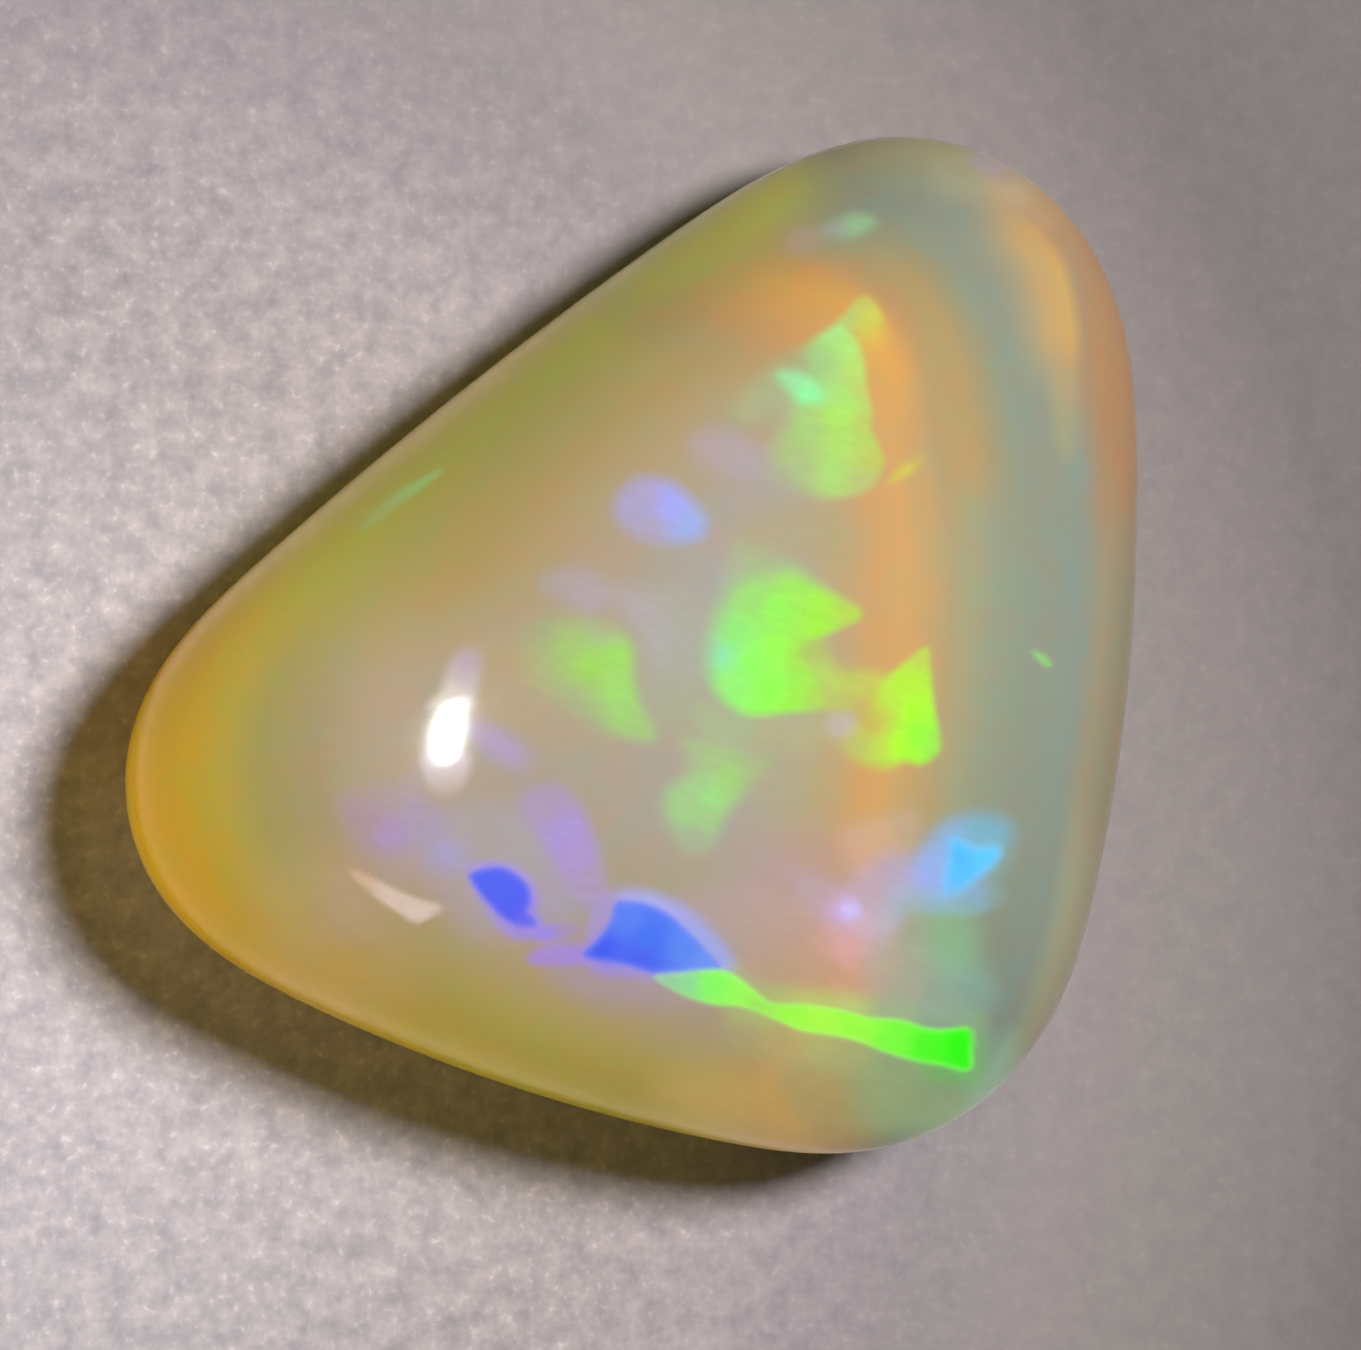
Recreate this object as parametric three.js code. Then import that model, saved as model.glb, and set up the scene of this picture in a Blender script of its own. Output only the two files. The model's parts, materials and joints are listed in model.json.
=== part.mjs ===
// A polished cabochon of precious opal, one natural stone in one piece. From above it is a
// triangle with wide round corners and bowed sides. It has a smooth dome, a girdle low on its
// side, a rounded under-edge and a flat base.
// Millimetres, +Z up. The stone rests on Z = 0, with the origin under the middle of its box.

import * as THREE from 'three';

// Girdle outline, seen from above, listed anticlockwise. Each corner is an arc with a centre and
// a radius of its own. Each side is a much wider arc that runs tangentially from one corner to
// the next one in the list.
const corners = [
  { centre: new THREE.Vector2(-3.92, -1.64), radius: 2.33, sideRadius: 22.0 },
  { centre: new THREE.Vector2(2.47, -3.15), radius: 2.96, sideRadius: 27.0 },
  { centre: new THREE.Vector2(3.35, 3.35), radius: 2.79, sideRadius: 48.6 },
];

// Hand polishing blends the corners into the sides over this angle to either side
const blendAngle = THREE.MathUtils.degToRad(15);
const blendSamples = 7;

// Profile from the base up
const girdleHeight = 1.7;
const domeHeight = 4.1;
const baseShare = 0.86;      // base outline as a share of the girdle outline
const domeFullness = 2.2;    // 2 is an ellipse, and more is fuller over the shoulder
const crownShare = 0.93;     // radius of the round crown as a share of the mean outline

// Fineness of the mesh
const columns = 90;
const domeRings = 22;
const underRings = 6;

const fullTurn = 2 * Math.PI;
const quarterTurn = Math.PI / 2;
const { lerp, euclideanModulo } = THREE.MathUtils;

// The heart of the outline is the mean of the corner centres. Directions are measured round it.
const heart = new THREE.Vector2();
corners.forEach((corner) => heart.addScaledVector(corner.centre, 1 / corners.length));

function directionFromHeart(point) {
  return Math.atan2(point.y - heart.y, point.x - heart.x);
}

// The circle of a side holds both its corner circles and touches each of them from inside, so
// its centre lies at the two differences of radius from their centres.
function sideCentre(from, to) {
  const step = to.centre.clone().sub(from.centre);
  const span = step.length();
  const along = step.normalize();
  const inward = new THREE.Vector2(-along.y, along.x);
  const reachFrom = from.sideRadius - from.radius;
  const reachTo = from.sideRadius - to.radius;
  const forward = (reachFrom ** 2 - reachTo ** 2 + span ** 2) / (2 * span);
  const sideways = Math.sqrt(reachFrom ** 2 - forward ** 2);
  return from.centre.clone().addScaledVector(along, forward).addScaledVector(inward, sideways);
}

// Where a side's circle touches a corner's circle, on the line through the two centres
function touchDirection(centre, corner) {
  const outward = corner.centre.clone().sub(centre).normalize();
  return directionFromHeart(corner.centre.clone().addScaledVector(outward, corner.radius));
}

// The six arcs of the outline, each with the directions between which it runs
function outlineArcs() {
  const sides = corners.map((corner, i) => sideCentre(corner, corners[(i + 1) % corners.length]));
  return corners.flatMap((corner, i) => {
    const next = corners[(i + 1) % corners.length];
    const sideBefore = sides.at(i - 1);
    const start = touchDirection(sideBefore, corner);
    const middle = touchDirection(sides[i], corner);
    const end = touchDirection(sides[i], next);
    return [
      { centre: corner.centre, radius: corner.radius, start, end: middle },
      { centre: sides[i], radius: corner.sideRadius, start: middle, end },
    ];
  });
}

const arcs = outlineArcs();

// Distance from the heart to the outline's arc in a direction, where the ray leaves its circle
function arcDistance(direction) {
  const turned = (angle, start) => euclideanModulo(angle - start, fullTurn);
  const arc = arcs.find(({ start, end }) => turned(direction, start) <= turned(end, start));
  const toCentre = arc.centre.clone().sub(heart);
  const along = toCentre.x * Math.cos(direction) + toCentre.y * Math.sin(direction);
  return along + Math.sqrt(arc.radius ** 2 - toCentre.lengthSq() + along ** 2);
}

// The polished outline is a mean of the arcs' distance over nearby directions, with weights that
// fall to nothing at the blend angle
function outlineRadius(direction) {
  let total = 0;
  let weights = 0;
  for (let i = -blendSamples; i <= blendSamples; i += 1) {
    const share = i / (blendSamples + 1);
    const weight = Math.cos(share * quarterTurn) ** 2;
    total += weight * arcDistance(direction + share * blendAngle);
    weights += weight;
  }
  return total / weights;
}

const directions = Array.from({ length: columns }, (_, i) => (i / columns) * fullTurn);
const outline = directions.map(outlineRadius);
const crownRadius = (crownShare * outline.reduce((sum, radius) => sum + radius, 0)) / columns;

// A ring of the dome. The turn goes from nothing at the top to a quarter turn at the girdle. The
// crown is round, and the outline's shape comes in with the square of the distance out.
function domeRing(turn) {
  const share = Math.sin(turn) ** (2 / domeFullness);
  const height = girdleHeight + domeHeight * Math.cos(turn);
  return { height, radii: outline.map((radius) => share * lerp(crownRadius, radius, share ** 2)) };
}

// A ring of the under-edge, a quarter of an ellipse from the girdle in to the flat base
function underRing(turn) {
  const share = lerp(baseShare, 1, Math.cos(turn));
  const height = girdleHeight * (1 - Math.sin(turn));
  return { height, radii: outline.map((radius) => share * radius) };
}

function allRings() {
  const rings = [];
  for (let i = 1; i <= domeRings; i += 1) {
    rings.push(domeRing((i / domeRings) * quarterTurn));
  }
  for (let i = 1; i <= underRings; i += 1) {
    rings.push(underRing((i / underRings) * quarterTurn));
  }
  return rings;
}

// One closed skin: the top point, the rings one below the other, and the middle of the base
function stoneGeometry() {
  const rings = allRings();
  const positions = [heart.x, heart.y, girdleHeight + domeHeight];
  rings.forEach(({ height, radii }) => {
    radii.forEach((radius, i) => {
      const x = heart.x + radius * Math.cos(directions[i]);
      const y = heart.y + radius * Math.sin(directions[i]);
      positions.push(x, y, height);
    });
  });
  positions.push(heart.x, heart.y, 0);

  const top = 0;
  const bottom = rings.length * columns + 1;
  const vertex = (ring, column) => 1 + ring * columns + (column % columns);
  const triangles = [];
  for (let column = 0; column < columns; column += 1) {
    triangles.push(top, vertex(0, column), vertex(0, column + 1));
    for (let ring = 1; ring < rings.length; ring += 1) {
      const upper = [vertex(ring - 1, column), vertex(ring - 1, column + 1)];
      const lower = [vertex(ring, column), vertex(ring, column + 1)];
      triangles.push(upper[0], lower[0], lower[1]);
      triangles.push(upper[0], lower[1], upper[1]);
    }
    const last = rings.length - 1;
    triangles.push(bottom, vertex(last, column + 1), vertex(last, column));
  }

  const geometry = new THREE.BufferGeometry();
  geometry.setAttribute('position', new THREE.Float32BufferAttribute(positions, 3));
  geometry.setIndex(triangles);
  geometry.computeBoundingBox();
  const middle = geometry.boundingBox.getCenter(new THREE.Vector3());
  geometry.translate(-middle.x, -middle.y, 0);
  geometry.computeVertexNormals();
  return geometry;
}

// Milky tan opal with a high polish
function polishedOpal() {
  return new THREE.MeshStandardMaterial({ color: '#b3a083', roughness: 0.08, metalness: 0 });
}

const opal = new THREE.Mesh(stoneGeometry(), polishedOpal());
opal.name = 'opal';

const stone = new THREE.Group();
stone.add(opal);

export default stone;
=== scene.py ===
# A polished trillion cabochon of precious opal, resting on a pale matte surface.
# The stone is one closed surface, worked out from the arcs of its outline and the curves of its
# profile. Its play of colour is a set of domains, each with an outline of its own.
# Lengths in the dictionaries are millimetres, and Blender's are metres.
import json

import bpy
import numpy as np
from mathutils import Euler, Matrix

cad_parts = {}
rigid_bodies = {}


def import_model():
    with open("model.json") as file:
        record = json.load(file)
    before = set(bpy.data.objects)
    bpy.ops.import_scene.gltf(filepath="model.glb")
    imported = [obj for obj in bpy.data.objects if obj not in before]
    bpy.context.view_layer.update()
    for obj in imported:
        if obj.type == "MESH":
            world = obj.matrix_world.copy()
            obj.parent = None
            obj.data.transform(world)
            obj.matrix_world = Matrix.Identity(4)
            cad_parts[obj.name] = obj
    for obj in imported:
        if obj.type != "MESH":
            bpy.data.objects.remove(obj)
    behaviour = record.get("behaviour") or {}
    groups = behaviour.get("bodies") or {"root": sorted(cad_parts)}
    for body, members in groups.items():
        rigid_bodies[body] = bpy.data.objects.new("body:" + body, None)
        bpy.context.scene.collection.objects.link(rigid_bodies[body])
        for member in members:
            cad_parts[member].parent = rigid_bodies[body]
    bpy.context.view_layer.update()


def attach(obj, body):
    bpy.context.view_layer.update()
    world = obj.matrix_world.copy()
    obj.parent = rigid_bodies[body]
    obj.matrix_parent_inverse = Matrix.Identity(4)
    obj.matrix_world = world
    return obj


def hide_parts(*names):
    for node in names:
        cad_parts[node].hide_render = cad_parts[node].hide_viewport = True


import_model()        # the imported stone, which this scene dresses
millimetre = 0.001
fullTurn = 2 * np.pi
quarterTurn = np.pi / 2
tiny = 1e-12             # keeps a division away from nothing


def linearColour(hexText):
    # sRGB is undone for each channel: a straight part near black, and a power of 2.4 above it
    channels = np.array([int(hexText[i:i + 2], 16) for i in (1, 3, 5)]) / 255
    return np.where(channels <= 0.04045, channels / 12.92, ((channels + 0.055) / 1.055) ** 2.4)


def addNode(tree, kind, settings, links=None):
    # a setting is the stops of a ramp, a property of the node or the value of an input
    node = tree.nodes.new("ShaderNode" + kind)
    for name, value in settings.items():
        if name == "stops":
            ramp = node.color_ramp
            ramp.elements.remove(ramp.elements[1])
            ramp.elements[0].position = value[0][0]
            for position, _, _ in value[1:]:
                ramp.elements.new(position)
            for element, (_, hexText, alpha) in zip(ramp.elements, value):
                element.color = (*linearColour(hexText), alpha)
        elif isinstance(name, str) and hasattr(node, name):
            setattr(node, name, value)
        else:
            node.inputs[name].default_value = value
    for name, socket in (links or {}).items():
        tree.links.new(socket, node.inputs[name])
    return node


def addNoise(tree, size, detail, roughness, vector):
    # the size is that of one blotch, in the units of the vector
    noise = addNode(
        tree, "TexNoise", {"Scale": 1 / size, "Detail": detail, "Roughness": roughness},
        {"Vector": vector},
    )
    return noise.outputs["Fac"]


def addRange(tree, span, value, result=(0.0, 1.0)):
    # carries a span of values over to another one in a straight line, and holds at its ends
    placed = addNode(
        tree, "MapRange",
        {"From Min": span[0], "From Max": span[1], "To Min": result[0], "To Max": result[1]},
        {"Value": value},
    )
    return placed.outputs[0]


def addProduct(tree, first, second):
    product = addNode(tree, "VectorMath", {"operation": "MULTIPLY"}, {0: first, 1: second})
    return product.outputs[0]


def addFactor(tree, factors, share):
    # a factor on each channel of a colour, between two extremes by a share
    low, high = factors
    factor = addNode(
        tree, "Mix", {"data_type": "RGBA", 6: (*low, 1), 7: (*high, 1)}, {0: share},
    )
    return factor.outputs[2]


def newMaterial(name):
    material = bpy.data.materials.new(name)
    material.use_nodes = True
    material.node_tree.nodes.clear()
    return material, material.node_tree


def smoothStep(low, high, value):
    # nothing below low, one above high, and a cubic that is level at both ends between them
    share = np.clip((value - low) / (high - low), 0, 1)
    return share * share * (3 - 2 * share)


# The viewpoint: it leans over towards the stone's narrow corner, and sees it from above
viewpoint = {
    "lean": 20.0,            # degrees from straight above, towards -X
    "target": (0.409, -0.370, 2.0),
    "distance": 80.4,
    "lens": 180.0,
    "sensor": 36.0,
    "seenFrom": 5.0,         # nothing nearer or farther than these is drawn
    "seenTo": 5000.0,
}

lean = np.radians(viewpoint["lean"])
towardsEye = np.array([-np.sin(lean), 0, np.cos(lean)])
eyeRight = np.array([np.cos(lean), 0, np.sin(lean)])
eyePoint = np.array(viewpoint["target"]) + viewpoint["distance"] * towardsEye


def seenPlace(points):
    # where a point shows, in millimetres right of and above the target: its offset across the
    # line of sight, scaled by the target's distance over its own
    offset = points - eyePoint
    scale = -viewpoint["distance"] / (offset @ towardsEye)
    return np.stack([offset @ eyeRight * scale, offset[..., 1] * scale], -1)


def makeCamera():
    data = bpy.data.cameras.new("eye")
    data.lens = viewpoint["lens"]
    data.sensor_width = viewpoint["sensor"]
    data.clip_start = viewpoint["seenFrom"] * millimetre
    data.clip_end = viewpoint["seenTo"] * millimetre
    camera = bpy.data.objects.new("eye", data)
    camera.location = eyePoint * millimetre
    camera.rotation_euler = (0, -lean, 0)
    bpy.context.scene.collection.objects.link(camera)
    bpy.context.scene.camera = camera


makeCamera()
print("camera placed")


# The stone's form. Corners are the x, y and radius of their arcs, anticlockwise from the narrow
# one, and each side's radius is for the arc from its corner to the next one.
stone = {
    "corners": ((-3.92, -1.64, 2.33), (2.47, -3.15, 2.96), (3.35, 3.35, 2.79)),
    "sideRadii": (22.0, 27.0, 48.6),
    "blendAngle": 15.0,      # polishing blends corners into sides over this many degrees
    "blendSamples": 7,
    "girdleHeight": 1.7,
    "domeHeight": 4.1,
    "baseShare": 0.86,       # base outline as a share of the girdle's
    "domeFullness": 2.2,     # 2 is an ellipse, and more is fuller over the shoulder
    "crownShare": 0.93,      # the round crown's radius as a share of the mean outline
    "columns": 440,
    "domeRings": 176,
    "underRings": 26,
    "baseRings": 10,
}


def outlineArcs(centres, radii, sideRadii):
    # A side's circle holds both its corner circles and touches each of them, so its centre is
    # at the differences of radius from theirs: forward on the line between them, then square
    # to it. An arc ends where two circles touch, which is on the line through their centres.
    step = np.roll(centres, -1, 0) - centres
    span = np.linalg.norm(step, axis=1)
    along = step / span[:, None]
    inward = np.stack([-along[:, 1], along[:, 0]], 1)
    reachFrom = sideRadii - radii
    reachTo = sideRadii - np.roll(radii, -1)
    forward = (reachFrom ** 2 - reachTo ** 2 + span ** 2) / (2 * span)
    sideways = np.sqrt(reachFrom ** 2 - forward ** 2)
    sides = centres + forward[:, None] * along + sideways[:, None] * inward

    heart = centres.mean(0)
    arcs = []
    for i, (centre, radius) in enumerate(zip(centres, radii)):
        ends = []
        for side in (sides[i - 1], sides[i]):
            outward = (centre - side) / np.linalg.norm(centre - side)
            touch = centre + radius * outward - heart
            ends.append(np.arctan2(touch[1], touch[0]))
        arcs.append([centre - heart, radius, ends[0], ends[1]])
        arcs.append([sides[i] - heart, sideRadii[i], ends[1], None])
    for i in range(1, 6, 2):
        arcs[i][3] = arcs[(i + 1) % 6][2]
    return heart, arcs


def arcDistance(arcs, direction):
    # from the heart, a ray leaves an arc's circle at the centre's distance along the ray, plus
    # the half chord there
    distance = np.zeros_like(direction)
    for centre, radius, start, end in arcs:
        within = (direction - start) % fullTurn <= (end - start) % fullTurn
        along = centre[0] * np.cos(direction) + centre[1] * np.sin(direction)
        chord = np.maximum(radius ** 2 - centre @ centre + along ** 2, 0)
        distance = np.where(within & (distance == 0), along + np.sqrt(chord), distance)
    return distance


def outlineRadius(arcs, direction):
    # a mean of the arcs' distance over nearby directions, weighted by the square of a cosine
    offsets = np.arange(-stone["blendSamples"], stone["blendSamples"] + 1)
    offsets = offsets / (stone["blendSamples"] + 1)
    weights = np.cos(offsets * quarterTurn) ** 2
    blend = np.radians(stone["blendAngle"])
    total = sum(w * arcDistance(arcs, direction + o * blend) for w, o in zip(weights, offsets))
    return total / weights.sum()


def stoneGrid():
    # Rings of points from near the top to near the middle of the base. On the dome a turn runs
    # from the top to the girdle, its sine to a power gives the share of the way out, and its
    # cosine the height. The crown is round, and the outline comes in with the square of the
    # share. Under the girdle is a quarter of an ellipse, and then the flat base. The run goes
    # from 0 at the top to 1 at the girdle and 2 on the base.
    corners = np.array(stone["corners"])
    heart, arcs = outlineArcs(corners[:, :2], corners[:, 2], np.array(stone["sideRadii"]))
    direction = np.arange(stone["columns"]) / stone["columns"] * fullTurn
    outline = outlineRadius(arcs, direction)
    crown = stone["crownShare"] * outline.mean()

    turn = np.arange(1, stone["domeRings"] + 1)[:, None] / stone["domeRings"] * quarterTurn
    share = np.sin(turn) ** (2 / stone["domeFullness"])
    domeRadius = share * (crown + (outline - crown) * share ** 2)
    domeHeight = stone["girdleHeight"] + stone["domeHeight"] * np.cos(turn)

    under = np.arange(1, stone["underRings"] + 1)[:, None] / stone["underRings"] * quarterTurn
    underShare = stone["baseShare"] + (1 - stone["baseShare"]) * np.cos(under)
    underHeight = stone["girdleHeight"] * (1 - np.sin(under))

    inner = 1 - np.arange(1, stone["baseRings"])[:, None] / stone["baseRings"]
    radius = np.vstack([domeRadius, underShare * outline, inner * stone["baseShare"] * outline])
    height = np.vstack([domeHeight, underHeight, 0 * inner])
    run = np.vstack([turn, quarterTurn + under, fullTurn / 2 + 0 * inner]) / quarterTurn

    x = heart[0] + radius * np.cos(direction)
    y = heart[1] + radius * np.sin(direction)
    middle = [(x.min() + x.max()) / 2, (y.min() + y.max()) / 2]
    grid = np.stack([x - middle[0], y - middle[1], height + 0 * x], -1)
    top = [*(heart - middle), stone["girdleHeight"] + stone["domeHeight"]]
    bottom = [*(heart - middle), 0]
    points = np.vstack([[top], grid.reshape(-1, 3), [bottom]])
    run = np.concatenate([[0], np.repeat(run[:, 0], stone["columns"]), [2]])
    return points, run


def gridFaces(rings, columns):
    # quads between neighbouring rings, and a fan of triangles at each end
    index = 1 + np.arange(rings * columns).reshape(rings, columns)
    following = np.roll(index, -1, 1)
    quads = np.stack([index[:-1], index[1:], following[1:], following[:-1]], -1).reshape(-1, 4)
    last = rings * columns + 1
    topFan = np.stack([0 * index[0], index[0], following[0]], -1)
    bottomFan = np.stack([0 * index[-1] + last, following[-1], index[-1]], -1)
    return quads.tolist() + topFan.tolist() + bottomFan.tolist()


def smoothPath(points, closed, steps=6):
    # a curve through the points, each span a cubic whose slope at a point is half the way
    # between the points beside it
    points = np.array(points, float)
    if closed:
        before, after, beyond = np.roll(points, 1, 0), np.roll(points, -1, 0), np.roll(points, -2, 0)
        start = points
    else:
        padded = np.vstack([points[:1], points, points[-1:]])
        before, start, after, beyond = padded[:-3], padded[1:-2], padded[2:-1], padded[3:]
    t = (np.arange(steps) / steps)[None, :, None]
    before, start, after, beyond = (a[:, None] for a in (before, start, after, beyond))
    curve = 0.5 * (2 * start + (after - before) * t
                   + (2 * before - 5 * start + 4 * after - beyond) * t ** 2
                   + (3 * start - before - 3 * after + beyond) * t ** 3)
    curve = curve.reshape(-1, 2)
    return curve if closed else np.vstack([curve, points[-1:]])


def segmentDistance(places, starts, ends):
    # the nearest distance from each place to the segments, and which segment that is
    best = np.full(len(places), np.inf)
    nearest = np.zeros(len(places), int)
    for i, (start, end) in enumerate(zip(starts, ends)):
        step = end - start
        share = np.clip(((places - start) @ step) / (step @ step + tiny), 0, 1)
        distance = np.linalg.norm(places - start - share[:, None] * step, axis=1)
        closer = distance < best
        best = np.where(closer, distance, best)
        nearest = np.where(closer, i, nearest)
    return best, nearest


def pathSide(places, path):
    # signed distance to an open path: positive on the left of its direction of travel
    curve = smoothPath(path, closed=False)
    starts, ends = curve[:-1], curve[1:]
    distance, nearest = segmentDistance(places, starts, ends)
    step = (ends - starts)[nearest]
    offset = places - starts[nearest]
    side = np.sign(step[:, 0] * offset[:, 1] - step[:, 1] * offset[:, 0])
    return distance * side


def insideDistance(places, outline):
    # signed distance to a closed outline: positive inside, where a line to one side crosses
    # the outline an odd number of times
    curve = smoothPath(outline, closed=True)
    starts, ends = curve, np.roll(curve, -1, 0)
    distance, _ = segmentDistance(places, starts, ends)
    odd = np.zeros(len(places), bool)
    for start, end in zip(starts, ends):
        level = (start[1] > places[:, 1]) != (end[1] > places[:, 1])
        rise = end[1] - start[1] if end[1] != start[1] else tiny
        crossing = start[0] + (places[:, 1] - start[1]) / rise * (end[0] - start[0])
        odd ^= level & (places[:, 0] < crossing)
    return np.where(odd, distance, -distance)


# Three lines, drawn in millimetres as they are seen from the viewpoint. Beyond the glow line
# the milky body looks grey-green, and along it an orange band of light gathered inside is painted.
# The streak line is the crisp side of a painted streak of light in the corner behind. The rim line is
# where the dome turns down on the far side. A place on the left of a line's way is positive.
innerLines = {
    "glowLine": ((0.11, 6.60), (0.04, 5.61), (0.23, 5.14), (0.98, 4.86), (2.00, 4.53),
                 (2.59, 3.90), (2.83, 3.01), (3.00, 1.71), (3.00, 0.41), (2.83, -1.12),
                 (2.48, -2.42), (2.19, -3.61), (1.98, -4.55), (1.86, -6.20)),
    "streakLine": ((4.36, 0.80), (4.53, 2.90), (4.58, 3.72), (4.51, 4.43), (4.31, 5.02),
                   (3.84, 5.46), (3.19, 5.76), (2.00, 6.10)),
    "rimLine": ((3.90, 6.30), (4.37, 5.79), (4.78, 5.26), (4.93, 4.08), (4.96, 2.66),
                (4.91, 1.36), (4.78, -0.30), (4.60, -1.48), (4.43, -2.66), (4.25, -3.37),
                (3.95, -4.20), (3.60, -4.73), (3.07, -5.26), (2.20, -6.20)),
}
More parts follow.
